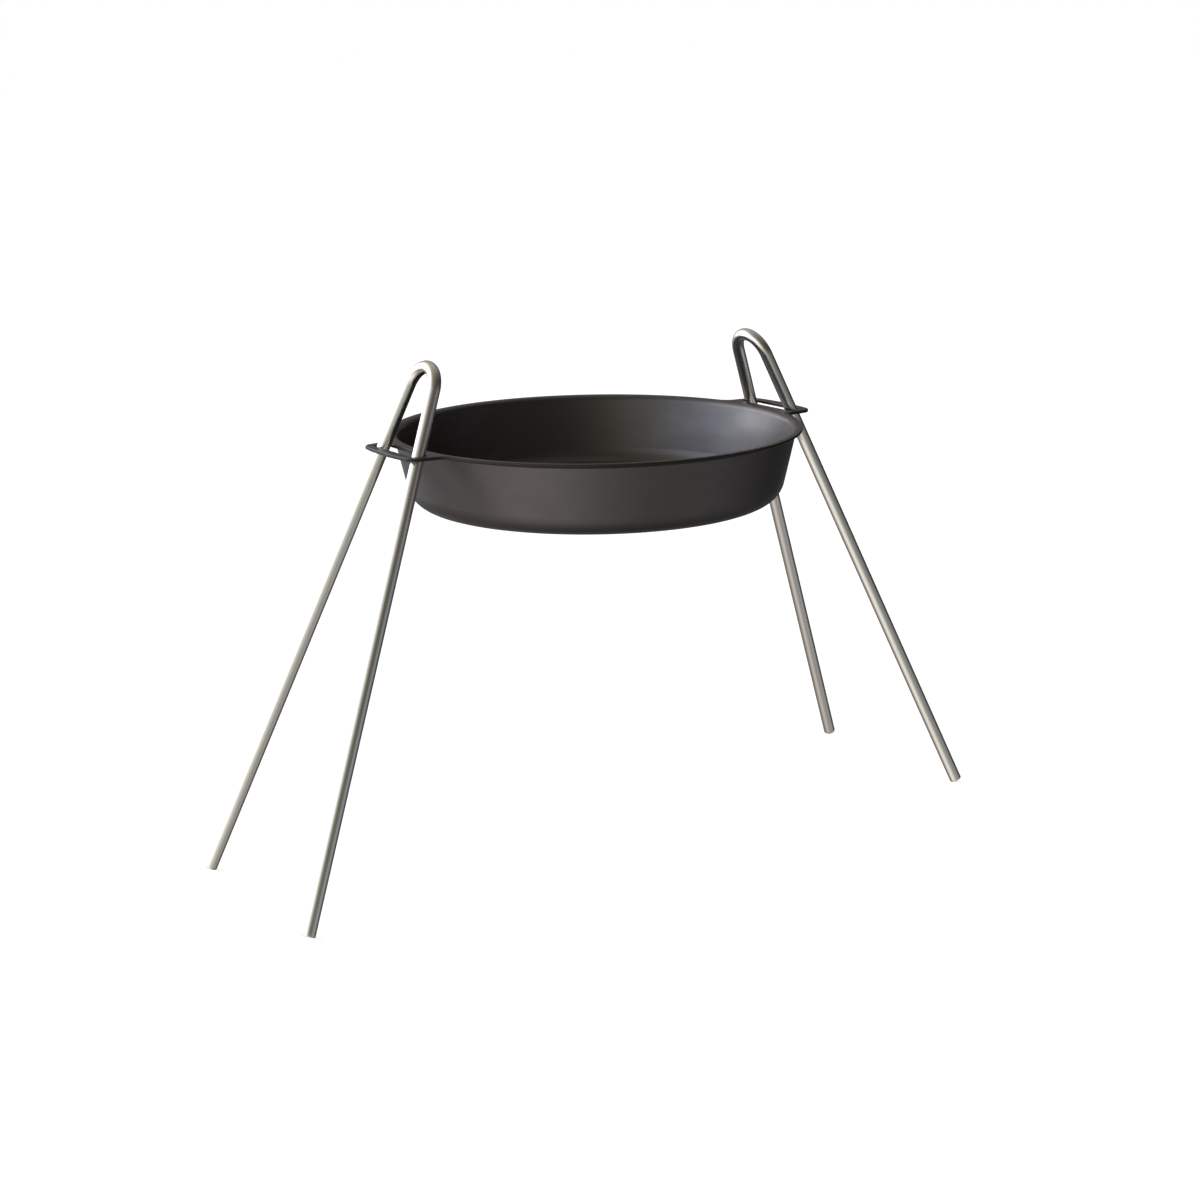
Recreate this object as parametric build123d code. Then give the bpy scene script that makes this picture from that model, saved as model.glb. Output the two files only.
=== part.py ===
from build123d import *
import math
import os

# Round pressed-steel fire pan standing on two removable rod legs.
# Origin on the ground below the centre of the pan, +Z up, +X through the two ears.
# All lengths in millimetres, all angles in degrees.

# pan, pressed from one sheet
SHEET = 3.0
FLANGE_RADIUS = 195.0
FLANGE_TOP = 395.0
WALL_TOP_RADIUS = 190.0
WALL_TAPER = 13.0
PAN_DEPTH = 70.0
FLOOR_BEND = 23.0
RIM_BEND = 6.0
RIM_UNDER_EASE = 2.0
BLANK_SEAM_RADIUS = 192.5
EDGE_EASE = 0.6

# ears, part of the same sheet
EAR_RADIUS = 226.0
EAR_START = 180.0
EAR_TIP_HALF_WIDTH = 46.0
EAR_ROOT_HALF_WIDTH = 50.0
EAR_CORNER = 12.0
EAR_ROOT_FILLET = 14.0
SLOT_WIDTH = 16.0
SLOT_CORNER = 6.0

# legs, each one bent rod
ROD_DIAMETER = 12.0
LEG_OFFSET = 207.5
LEG_LEAN = 22.4
PRONG_ANGLE = 9.5
LOOP_BEND = 23.0
LOOP_REACH = 79.5
FOOT_CHAMFER = 0.8
WEDGE_GAP = 0.3

rod_radius = ROD_DIAMETER / 2
flange_under = FLANGE_TOP - SHEET
sheet_middle = FLANGE_TOP - SHEET / 2
pan_bottom = FLANGE_TOP - PAN_DEPTH
floor_top = pan_bottom + SHEET
taper_slope = math.tan(math.radians(WALL_TAPER))
lean = math.radians(LEG_LEAN)
prong = math.radians(PRONG_ANGLE)


def prong_spread(height):
    """Half the distance between the prong centre lines, at a height along the leg's own plane
    counted from the middle of the ear's sheet."""
    bend_centre = LOOP_REACH - LOOP_BEND
    tangent_spread = LOOP_BEND * math.cos(prong)
    tangent_height = bend_centre + LOOP_BEND * math.sin(prong)
    return tangent_spread + (tangent_height - height) * math.tan(prong)


def slot_half_length():
    """The prongs spread downwards, so they wedge on the slot's ends at the ear's lower face."""
    lower_face = -SHEET / 2 / math.cos(lean)
    return prong_spread(lower_face) + rod_radius / math.cos(prong) + WEDGE_GAP


def pan_section():
    """Half section of the pressed sheet: the flange's inner part, the sloping wall and the floor,
    with its two bends. The tight inside of the rim bend, under the flange, is a plain bevel."""
    wall_inset = SHEET / math.cos(math.radians(WALL_TAPER))
    outer_floor = WALL_TOP_RADIUS - PAN_DEPTH * taper_slope
    inner_floor = WALL_TOP_RADIUS - (FLANGE_TOP - floor_top) * taper_slope - wall_inset
    outer_knee = WALL_TOP_RADIUS - SHEET * taper_slope
    inner_knee = WALL_TOP_RADIUS - wall_inset
    outline = Polyline(
        (0, pan_bottom),
        (outer_floor, pan_bottom),
        (outer_knee, flange_under),
        (BLANK_SEAM_RADIUS, flange_under),
        (BLANK_SEAM_RADIUS, FLANGE_TOP),
        (inner_knee, FLANGE_TOP),
        (inner_floor, floor_top),
        (0, floor_top),
        close=True,
    )
    section = make_face(outline)
    bends = [
        (outer_floor, pan_bottom, FLOOR_BEND),
        (inner_floor, floor_top, FLOOR_BEND - SHEET),
        (inner_knee, FLANGE_TOP, RIM_BEND),
    ]
    for radius, height, bend in bends:
        section = fillet(corner_near(section, radius, height), bend)
    return chamfer(corner_near(section, outer_knee, flange_under), RIM_UNDER_EASE)


def corner_near(section, radius, height):
    """The section's corner nearest to a radius and a height."""
    return section.vertices().sort_by_distance((radius, height, 0))[0]


def pan_shell():
    """The round pan as far as the flange's middle, where the flat blank takes over."""
    return revolve(Plane.XZ * pan_section(), Axis.Z)


def flange_outline():
    """Plan outline of the flange with both ears: their tips share one arc about the pan's centre."""
    reach = EAR_RADIUS + 1
    tongue = make_face(
        Polyline(
            (EAR_START, -EAR_ROOT_HALF_WIDTH),
            (reach, -EAR_TIP_HALF_WIDTH),
            (reach, EAR_TIP_HALF_WIDTH),
            (EAR_START, EAR_ROOT_HALF_WIDTH),
            close=True,
        )
    )
    ear = tongue & Circle(EAR_RADIUS)
    tips = ear.vertices().sort_by(Axis.X)[-2:]
    ear = fillet(tips, EAR_CORNER)
    blank = Circle(FLANGE_RADIUS) + ear + mirror(ear, about=Plane.YZ)
    blank = blank.clean()
    roots = [v for v in blank.vertices() if is_ear_root(v)]
    return fillet(roots, EAR_ROOT_FILLET)


def is_ear_root(vertex):
    """True at the four corners where an ear's side runs into the round flange."""
    on_flange = abs(math.hypot(vertex.X, vertex.Y) - FLANGE_RADIUS) < 0.01
    return on_flange and abs(vertex.Y) > EAR_TIP_HALF_WIDTH


def slot():
    """Plan outline of one ear's slot."""
    return RectangleRounded(SLOT_WIDTH, 2 * slot_half_length(), SLOT_CORNER)


def ear_sheet():
    """Flat ring of sheet at the flange's level with both ears, their slots and eased edges."""
    well = Circle(BLANK_SEAM_RADIUS)
    slots = Pos(LEG_OFFSET, 0) * slot() + Pos(-LEG_OFFSET, 0) * slot()
    ring = flange_outline() - well - slots
    sheet = extrude(Pos(0, 0, flange_under) * ring, SHEET)
    rims = [e for e in sheet.edges() if is_outer_rim(e)]
    return chamfer(rims, EDGE_EASE)


def is_outer_rim(edge):
    """True for the edges round the blank and the slots, and false for the well's own edges."""
    middle = edge.position_at(0.5)
    level = abs(edge.position_at(0).Z - edge.position_at(1).Z) < 0.01
    return level and math.hypot(middle.X, middle.Y) > FLANGE_RADIUS - 1


def fire_pan():
    """The whole pan: shell and ears are one pressing."""
    return (pan_shell() + ear_sheet()).clean()


def leg_plane(side):
    """Plane of one leg: its y axis runs up along the leg, which leans in over the pan."""
    normal = (math.cos(lean), 0, side * math.sin(lean))
    return Plane(origin=(side * LEG_OFFSET, 0, sheet_middle), x_dir=(0, 1, 0), z_dir=normal)


def foot_drop():
    """Length down the leg's plane from the ear to the foot's centre, where the lowest edge of
    the chamfered end touches the ground."""
    rod_tilt = math.acos(math.cos(lean) * math.cos(prong))
    end_drop = (rod_radius - FOOT_CHAMFER) * math.sin(rod_tilt)
    return (sheet_middle - end_drop) / math.cos(lean)


def leg(side):
    """One rod bent to a narrow V with a round loop at the top."""
    sharp_top = LOOP_REACH - LOOP_BEND + LOOP_BEND / math.sin(prong)
    foot = -foot_drop()
    spread = prong_spread(foot)
    route = FilletPolyline((-spread, foot), (0, sharp_top), (spread, foot), radius=LOOP_BEND)
    path = leg_plane(side) * route
    cut_end = Plane(origin=path @ 0, z_dir=path % 0)
    rod = sweep(cut_end * Circle(rod_radius), path=path)
    feet = rod.edges().group_by(Axis.Z)[0]
    return chamfer(feet, FOOT_CHAMFER)


def main():
    os.makedirs("parts", exist_ok=True)
    parts = {
        "fire_pan": fire_pan(),
        "left_leg": leg(-1),
        "right_leg": leg(1),
    }
    for name, solid in parts.items():
        export_step(solid, f"parts/{name}.step")


main()
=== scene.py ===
import math

import bmesh
import bpy
import numpy as np
from mathutils import Matrix, Vector


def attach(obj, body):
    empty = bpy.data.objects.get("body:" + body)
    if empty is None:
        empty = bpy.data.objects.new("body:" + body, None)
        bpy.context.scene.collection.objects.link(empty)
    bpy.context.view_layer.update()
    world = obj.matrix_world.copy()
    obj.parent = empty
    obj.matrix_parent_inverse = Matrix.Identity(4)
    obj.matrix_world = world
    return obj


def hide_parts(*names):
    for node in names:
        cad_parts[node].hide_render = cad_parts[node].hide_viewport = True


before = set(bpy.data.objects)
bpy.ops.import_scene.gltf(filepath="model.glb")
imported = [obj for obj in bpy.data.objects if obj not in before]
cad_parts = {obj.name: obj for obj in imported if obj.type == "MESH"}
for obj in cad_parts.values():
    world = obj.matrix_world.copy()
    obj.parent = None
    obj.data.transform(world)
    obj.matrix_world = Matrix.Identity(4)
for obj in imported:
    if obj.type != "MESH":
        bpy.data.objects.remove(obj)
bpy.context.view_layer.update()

# ---------------------------------------------------------------- sizes, metres and radians
# the pan's sheet, where its flange and ears are
SHEET_UNDER = 0.392
SHEET_TOP = 0.395
SHEET_MIDDLE = (SHEET_UNDER + SHEET_TOP) / 2
RIM_INSIDE = 0.193
RIM_OUTSIDE = 0.1942
EDGE_FROM = 0.0003
EDGE_FULL = 0.0006

# the legs' rod and its route, a hair thinner than the plain solid it covers so as to stay within it
ROD_RADIUS = 0.00596
LEG_OFFSET = 0.2075
LEG_LEAN = math.radians(22.4)
PRONG_ANGLE = math.radians(9.5)
LOOP_BEND = 0.023
LOOP_REACH = 0.0795

# the rod's ends: the plain solid's chamfer, the rounded edge shown in its place, and the small
# height it stands above the ground
FOOT_CHAMFER = 0.0008
FOOT_ROUND = 0.0009
FOOT_LIFT = 0.0001
POLE_RADIUS = 1e-6

# how finely the rods are divided
RING_POINTS = 48
PRONG_RINGS = 150
BEND_RINGS = 72
FOOT_RINGS = 6

# ---------------------------------------------------------------- finishes, linear colours
COAT_DARK = (0.0085, 0.0078, 0.0073, 1)
COAT_LIGHT = (0.0128, 0.0118, 0.0110, 1)
# painted shade: the colour of the sheet's cut edges and slot walls, which comes out blacker than the
# coat once it is made half metal
CUT_EDGE_PAINTED_SHADE = (0.016, 0.0145, 0.013, 1)
COAT_SHINE = (1.0, 0.94, 0.93, 1)
COAT_SHINE_LEVEL = 0.957
COAT_ROUGHNESS = 0.32
COAT_GRAIN_DEPTH = 0.00006
CUT_EDGE_ROUGHER = 0.15
# painted shade: how far the cut edges are made metal, which turns their colour blacker
CUT_EDGE_SHADE_METAL = 0.75
STEEL_DULL = (0.52, 0.515, 0.49, 1)
STEEL_CLEAN = (0.65, 0.645, 0.62, 1)
STEEL_ROUGHNESS = 0.24
DRAWN_LINE_DEPTH = 0.00003


# ---------------------------------------------------------------- shader maths
class Wire:
    """A shader socket that arithmetic works on: each operator adds one Math node."""

    def __init__(self, tree, socket):
        self.tree = tree
        self.socket = socket

    def math(self, operation, *others, clamp=False):
        """Adds a Math node that works on this value and the others, in order."""
        node = self.tree.nodes.new("ShaderNodeMath")
        node.operation = operation
        node.use_clamp = clamp
        for slot, value in zip(node.inputs, (self,) + others):
            if isinstance(value, Wire):
                self.tree.links.new(value.socket, slot)
            else:
                slot.default_value = value
        return Wire(self.tree, node.outputs[0])

    def __add__(self, other):
        return self.math("ADD", other)

    __radd__ = __add__

    def __mul__(self, other):
        return self.math("MULTIPLY", other)

    __rmul__ = __mul__

    def __sub__(self, other):
        return self.math("SUBTRACT", other)

    def __rsub__(self, other):
        return (self * -1.0) + other

    def __truediv__(self, other):
        return self.math("DIVIDE", other)

    def clamped(self):
        """The same number held between 0 and 1."""
        return self.math("ADD", 0.0, clamp=True)


class Graph:
    """A node tree under construction: one method adds any node."""

    def __init__(self, tree):
        self.tree = tree

    def node(self, kind, settings=None, inputs=None, output=0):
        """Adds a node of a kind, with its settings set first and then its inputs' values or links.
        Returns the wire of one output, or nothing where output is None."""
        node = self.tree.nodes.new(kind)
        for key, value in (settings or {}).items():
            setattr(node, key, value)
        for key, value in (inputs or {}).items():
            self.feed(node.inputs[key], value)
        return None if output is None else Wire(self.tree, node.outputs[output])

    def feed(self, socket, value):
        """Links a wire to a socket, or sets the socket to a plain value."""
        if isinstance(value, Wire):
            self.tree.links.new(value.socket, socket)
        else:
            socket.default_value = value

    def noise(self, coordinate, scale, detail, roughness):
        """Soft cloudy noise, mostly between 0.3 and 0.7."""
        inputs = {"Vector": coordinate, "Scale": scale, "Detail": detail, "Roughness": roughness}
        return self.node("ShaderNodeTexNoise", None, inputs)

    def stretch(self, coordinate, scale, shift=(0.0, 0.0, 0.0)):
        """Scales a coordinate differently along each axis."""
        inputs = {"Vector": coordinate, "Scale": scale, "Location": shift}
        return self.node("ShaderNodeMapping", None, inputs)

    def split(self, vector):
        """The three numbers of a vector."""
        return [self.node("ShaderNodeSeparateXYZ", None, {0: vector}, output=axis) for axis in "XYZ"]

    def blend(self, mask, low, high):
        """Colour between low and high, by a mask from 0 to 1."""
        inputs = {"Factor": mask, 6: low, 7: high}
        return self.node("ShaderNodeMix", {"data_type": "RGBA"}, inputs, output=2)

    def bump(self, height, depth, strength):
        """Surface direction tilted by a height from 0 to 1, which stands for a depth in metres."""
        inputs = {"Height": height, "Distance": depth, "Strength": strength}
        return self.node("ShaderNodeBump", None, inputs)


class Finish(Graph):
    """A material under construction."""

    def __init__(self, name):
        self.material = bpy.data.materials.new(name)
        self.material.use_nodes = True
        super().__init__(self.material.node_tree)
        self.shader = self.tree.nodes["Principled BSDF"]

    def surface(self, **inputs):
        """Sets the surface shader's inputs, named with underscores for spaces."""
        for key, value in inputs.items():
            self.feed(self.shader.inputs[key.replace("_", " ")], value)
        return self.material


def ramp(wire, low, high):
    """0 at low, 1 at high, straight between and level beyond."""
    return ((wire - low) / (high - low)).clamped()


def pan_steel():
    """Pressed steel with a thin dark heat-proof coat: satin, with faint cloudy marks and a fine
    grain. On the sheet's cut edges, round the rim and in the slots, the surface is rougher, and
    painted shade makes it blacker with a darker, half-metal colour. There the surface is beyond the
    wall and between the sheet's two faces."""
    f = Finish("dark_pan_coat")
    here = f.node("ShaderNodeTexCoord", output="Object")
    x, y, z = f.split(here)
    beyond_wall = ramp(x * x + y * y, RIM_INSIDE**2, RIM_OUTSIDE**2)
    above_under = ramp(z, SHEET_UNDER + EDGE_FROM, SHEET_UNDER + EDGE_FULL)
    below_top = ramp(z, SHEET_TOP - EDGE_FROM, SHEET_TOP - EDGE_FULL)
    # where the painted shade goes: the cut edges round the rim and the slot walls
    cut_edge_shade = beyond_wall * above_under * below_top
    cloud = f.noise(here, scale=14.0, detail=4.0, roughness=0.6)
    squashed = f.stretch(here, (1.0, 1.0, 2.4), (3.1, 1.7, 0.4))
    wisps = f.noise(squashed, scale=22.0, detail=5.0, roughness=0.62)
    grain = f.noise(here, scale=900.0, detail=2.0, roughness=0.6)
    coat = f.blend(cloud, COAT_DARK, COAT_LIGHT)
    marks = cloud * 0.10 + ramp(wisps, 0.38, 0.62) * 0.09 + (grain - 0.5) * 0.06
    return f.surface(
        # painted shade: the cut edges get a blacker colour and metal
        Base_Color=f.blend(cut_edge_shade, coat, CUT_EDGE_PAINTED_SHADE),
        Roughness=COAT_ROUGHNESS + marks + cut_edge_shade * CUT_EDGE_ROUGHER,
        Metallic=cut_edge_shade * CUT_EDGE_SHADE_METAL,
        Specular_IOR_Level=COAT_SHINE_LEVEL,
        Specular_Tint=COAT_SHINE,
        Normal=f.bump(grain * 0.6 + wisps * 0.4, COAT_GRAIN_DEPTH, strength=0.6),
    )


def leg_steel():
    """Drawn stainless bar: fine lines along the rod, and a slightly uneven satin shine. The rod's
    own map runs once round it from 0 to 1, and along it in metres."""
    f = Finish("satin_stainless_rod")
    flow = f.node("ShaderNodeUVMap", {"uv_map": "rod"})
    lines = f.noise(f.stretch(flow, (190.0, 2.2, 1.0)), scale=1.0, detail=3.0, roughness=0.6)
    patches = f.stretch(flow, (9.0, 7.0, 1.0), (0.3, 0.7, 0.0))
    scuffs = f.noise(patches, scale=2.0, detail=4.0, roughness=0.62)
    return f.surface(
        Base_Color=f.blend(scuffs, STEEL_DULL, STEEL_CLEAN),
        Roughness=STEEL_ROUGHNESS + (lines - 0.5) * 0.14 + (scuffs - 0.5) * 0.10,
        Metallic=1.0,
        Normal=f.bump(lines, DRAWN_LINE_DEPTH, strength=0.5),
    )


# ---------------------------------------------------------------- legs
def leg_route(foot):
    """Centre line of a leg in its own plane, from one foot over the loop to the other.

    Two straight prongs, each turned PRONG_ANGLE from the plane's up axis, are joined by an arc of
    radius LOOP_BEND about the point LOOP_REACH - LOOP_BEND above the ear. The feet are at the
    height foot. Returns the points, the directions and the lengths along the line."""
    centre = LOOP_REACH - LOOP_BEND
    across, upward = math.sin(PRONG_ANGLE), math.cos(PRONG_ANGLE)
    touch = np.array([LOOP_BEND * upward, centre + LOOP_BEND * across])
    length = (touch[1] - foot) / upward
    foot_point = touch + length * np.array([across, -upward])
    t = np.linspace(0, 1, PRONG_RINGS)[:, None]
    turn = np.linspace(math.pi - PRONG_ANGLE, PRONG_ANGLE, BEND_RINGS)[1:-1]
    rising = np.array([-1, 1]) * (foot_point + t * (touch - foot_point))
    bend = np.stack([LOOP_BEND * np.cos(turn), centre + LOOP_BEND * np.sin(turn)], -1)
    falling = touch + t * (foot_point - touch)
    line = np.concatenate([rising, bend, falling])
    directions = np.concatenate(
        [
            np.tile([across, upward], (PRONG_RINGS, 1)),
            np.stack([np.sin(turn), -np.cos(turn)], -1),
            np.tile([across, -upward], (PRONG_RINGS, 1)),
        ]
    )
    step = np.diff(line, axis=0)
    lengths = np.concatenate([[0.0], np.cumsum(np.hypot(step[:, 0], step[:, 1]))])
    return line, directions, lengths


def leg_rings(side):
    """Round rod carried along the leg's route, with rounded edges at both cut feet.

    Ring k is centre(k) + radius(k) * (cos a * sideways + sin a * normal): sideways lies in the
    leg's plane across the rod, and normal is the plane's own. Near a foot the radius follows a
    quarter circle of FOOT_ROUND, and the last rings shrink to close the end. Returns the points
    [ring, place round it, xyz] and each ring's length along the rod."""
    rod_tilt = math.acos(math.cos(LEG_LEAN) * math.cos(PRONG_ANGLE))
    foot_rise = FOOT_LIFT + (ROD_RADIUS - FOOT_CHAMFER) * math.sin(rod_tilt)
    line, directions, lengths = leg_route(-(SHEET_MIDDLE - foot_rise) / math.cos(LEG_LEAN))

    turn = np.linspace(0, math.pi / 2, FOOT_RINGS)
    end_radius = ROD_RADIUS - FOOT_ROUND + FOOT_ROUND * np.sin(turn)
    end_radius = np.concatenate([[POLE_RADIUS, ROD_RADIUS / 2], end_radius])
    end_depth = np.concatenate([[0.0, 0.0], FOOT_ROUND * (1 - np.cos(turn))])
    ends = len(end_depth)
    middle = slice(1, -1)
    first = line[0] + end_depth[:, None] * directions[0]
    last = line[-1] - end_depth[::-1, None] * directions[-1]
    centres = np.concatenate([first, line[middle], last])
    directions = np.concatenate(
        [np.tile(directions[0], (ends, 1)), directions[middle], np.tile(directions[-1], (ends, 1))]
    )
    radii = np.concatenate([end_radius, np.full(len(line) - 2, ROD_RADIUS), end_radius[::-1]])
    lengths = np.concatenate([lengths[0] + end_depth, lengths[middle], lengths[-1] - end_depth[::-1]])

    plane_side = np.array([0.0, 1.0, 0.0])
    plane_up = np.array([-side * math.sin(LEG_LEAN), 0.0, math.cos(LEG_LEAN)])
    normal = np.cross(plane_side, plane_up)
    origin = np.array([side * LEG_OFFSET, 0.0, SHEET_MIDDLE])
    centres = origin + centres[:, :1] * plane_side + centres[:, 1:] * plane_up
    sideways = directions[:, 1:] * plane_side - directions[:, :1] * plane_up
    a = np.linspace(0, 2 * math.pi, RING_POINTS, endpoint=False)
    ring = np.cos(a)[None, :, None] * sideways[:, None] + np.sin(a)[None, :, None] * normal
    return centres[:, None] + radii[:, None, None] * ring, lengths


def rod_mesh(name, points, lengths):
    """Mesh of a rod's rings, each joined to the next and closed round, with its faces outwards.

    The map "rod" holds the place round the rod, from 0 to 1, and the length along it. The last
    face of a ring ends at 1 and not at 0, so that the pattern doesn't run backwards there."""
    rings, around = points.shape[:2]
    r, c = np.meshgrid(np.arange(rings - 1), np.arange(around), indexing="ij")
    here, beside = r * around + c, r * around + (c + 1) % around
    quads = np.stack([here, beside, beside + around, here + around], -1)
    mesh = bpy.data.meshes.new(name)
    mesh.from_pydata(points.reshape(-1, 3).tolist(), [], quads.reshape(-1, 4).tolist())
    left, right = c / around, (c + 1) / around
    low, high = lengths[r], lengths[r + 1]
    corners = np.stack([left, low, right, low, right, high, left, high], -1)
    layer = mesh.uv_layers.new(name="rod")
    layer.data.foreach_set("uv", corners.reshape(-1).astype(np.float32))
    mesh.polygons.foreach_set("use_smooth", np.ones(len(mesh.polygons), bool))
    mesh.update()
    close_and_face_out(mesh)
    return mesh


def close_and_face_out(mesh):
    """Joins the coincident points at a rod's ends and turns every face outwards."""
    work = bmesh.new()
    work.from_mesh(mesh)
    bmesh.ops.remove_doubles(work, verts=work.verts, dist=POLE_RADIUS)
    bmesh.ops.recalc_face_normals(work, faces=work.faces)
    work.to_mesh(mesh)
    work.free()


def put_in_scene(name, mesh, material):
    """Puts a mesh in the scene with one material."""
    placed = bpy.data.objects.new(name, mesh)
    bpy.context.scene.collection.objects.link(placed)
    mesh.materials.append(material)
    return placed


def leg(side, node, material):
    """One leg's visible rod, riding on its own body in place of its plain CAD solid."""
    points, lengths = leg_rings(side)
    name = node + "_rod"
    rod = put_in_scene(name, rod_mesh(name, points, lengths), material)
    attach(rod, node)
    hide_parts(node)


# ---------------------------------------------------------------- stage, angles in degrees
FLOOR_REACH = 30.0
FLOOR_TONE = 0.5
FLOOR_GLOW = 0.82

VIEW_AZIMUTH = -32.886
VIEW_ELEVATION = 13.975
VIEW_ROLL = -0.853
VIEW_DISTANCE = 2.20977
VIEW_TARGET = (0, 0, 0.22821)
VIEW_STEP_RIGHT = 0.00215
VIEW_STEP_DOWN = 0.0019
FRAME_WIDTH_MM = 36.0
LENS_MM = 69.08

# azimuth and elevation from the camera's side, tightness, and colour times strength
STUDIO_LIGHTS = (
    # light coming off the ground, brightest in front and fading to the right
    (-80, -35, 6, (0.26, 0.19, 0.11)),
    (-45, -35, 6, (1.02, 1.00, 1.03)),
    (-10, -35, 6, (0.53, 0.48, 0.39)),
    (30, -35, 6, (0.14, 0.10, 0.10)),
    (75, -35, 6, (0.38, 0.36, 0.37)),
    (-50, -10, 14, (0.66, 0.57, 0.43)),
    (-5, -10, 12, (0.22, 0.30, 0.32)),
    (30, -10, 14, (0.14, 0.20, 0.12)),
    (70, -10, 14, (0.25, 0.29, 0.32)),
    # large soft light low on the left, with a cool window in it
    (-25, 15, 14, (0.47, 0.41, 0.25)),
    (-50, 15, 14, (1.15, 1.20, 1.31)),
    (-75, 15, 14, (0.77, 1.00, 1.43)),
    (-100, 15, 14, (2.95, 3.20, 3.75)),
    (-125, 15, 14, (2.34, 2.32, 2.41)),
    (-103, 25, 30, (1.19, 1.27, 1.49)),
    (-94, 3, 45, (0.45, 0.52, 0.68)),
    (-111, 3, 45, (3.60, 3.70, 3.90)),
    (-128, 3, 45, (0.79, 0.79, 0.81)),
    # weak fill from above and behind
    (-130, 45, 5, (0.30, 0.22, 0.14)),
    (-80, 45, 5, (0.27, 0.23, 0.16)),
    (30, 45, 5, (0.09, 0.05, 0.05)),
    (0, 80, 4, (0.10, 0.10, 0.08)),
    (170, 50, 5, (0.40, 0.40, 0.40)),
    (-165, -35, 6, (0.30, 0.30, 0.30)),
)


def direction(azimuth, elevation):
    """Unit vector from the object at an azimuth round it and an elevation, in degrees.
    Azimuth 0 is -Y, and it grows towards +X."""
    a, e = math.radians(azimuth), math.radians(elevation)
    return Vector((math.sin(a) * math.cos(e), -math.cos(a) * math.cos(e), math.sin(e)))


def stage_floor():
    """Wide pale floor the object stands on. Its glow keeps it even, and what it takes from the
    studio leaves a soft shadow. Reflections pass it by and meet the studio's own low lights."""
    corners = [(x * FLOOR_REACH, y * FLOOR_REACH, 0) for x, y in ((-1, -1), (1, -1), (1, 1), (-1, 1))]
    mesh = bpy.data.meshes.new("studio_floor")
    mesh.from_pydata(corners, [], [(0, 1, 2, 3)])
    f = Finish("pale_floor")
    pale = f.surface(
        Base_Color=(FLOOR_TONE, FLOOR_TONE, FLOOR_TONE, 1),
        Roughness=1.0,
        Specular_IOR_Level=0.0,
        Emission_Color=(1, 1, 1, 1),
        Emission_Strength=FLOOR_GLOW,
    )
    floor = put_in_scene("studio_floor", mesh, pale)
    floor.visible_glossy = False
    floor.visible_diffuse = False


def studio_world():
    """Soft studio round the object, and plain white where the camera looks past the floor.

    Each light is a round glow: its strength times the exponential of tightness * (cosine of the
    angle to its middle - 1). The camera's own rays see white instead."""
    world = bpy.data.worlds.new("studio")
    bpy.context.scene.world = world
    world.use_nodes = True
    world.node_tree.nodes.clear()
    g = Graph(world.node_tree)
    way = g.node("ShaderNodeTexCoord", output="Generated")
    glow = None
    for azimuth, elevation, tightness, color in STUDIO_LIGHTS:
        aim = {0: way, 1: direction(VIEW_AZIMUTH + azimuth, elevation)}
        cosine = g.node("ShaderNodeVectorMath", {"operation": "DOT_PRODUCT"}, aim, output="Value")
        strength = ((cosine - 1.0) * tightness).math("EXPONENT")
        light = g.node("ShaderNodeBackground", None, {"Color": (*color, 1), "Strength": strength})
        glow = light if glow is None else g.node("ShaderNodeAddShader", None, {0: glow, 1: light})
    white = g.node("ShaderNodeBackground", None, {"Color": (1, 1, 1, 1), "Strength": 1.0})
    seen = g.node("ShaderNodeLightPath", output="Is Camera Ray")
    mixed = g.node("ShaderNodeMixShader", None, {0: seen, 1: glow, 2: white})
    g.node("ShaderNodeOutputWorld", None, {"Surface": mixed}, output=None)


def camera():
    """Camera on the left front quarter, a little above the rim."""
    back = direction(VIEW_AZIMUTH, VIEW_ELEVATION)
    flat_right = direction(VIEW_AZIMUTH + 90, 0)
    flat_up = back.cross(flat_right)
    roll = math.radians(VIEW_ROLL)
    right = math.cos(roll) * flat_right + math.sin(roll) * flat_up
    up = back.cross(right)
    place = Vector(VIEW_TARGET) + back * VIEW_DISTANCE
    place += right * VIEW_STEP_RIGHT - up * VIEW_STEP_DOWN
    data = bpy.data.cameras.new("view")
    data.sensor_width = FRAME_WIDTH_MM
    data.lens = LENS_MM
    view = bpy.data.objects.new("view", data)
    view.matrix_world = Matrix.Translation(place) @ Matrix((right, up, back)).transposed().to_4x4()
    bpy.context.scene.collection.objects.link(view)
    bpy.context.scene.camera = view


# ---------------------------------------------------------------- the fire pan on its two legs
bpy.context.scene.view_settings.view_transform = "Standard"
camera()
studio_world()
stage_floor()

pan_material = pan_steel()
rod_material = leg_steel()
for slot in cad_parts["fire_pan"].material_slots:
    slot.material = pan_material
leg(-1, "left_leg", rod_material)
leg(1, "right_leg", rod_material)
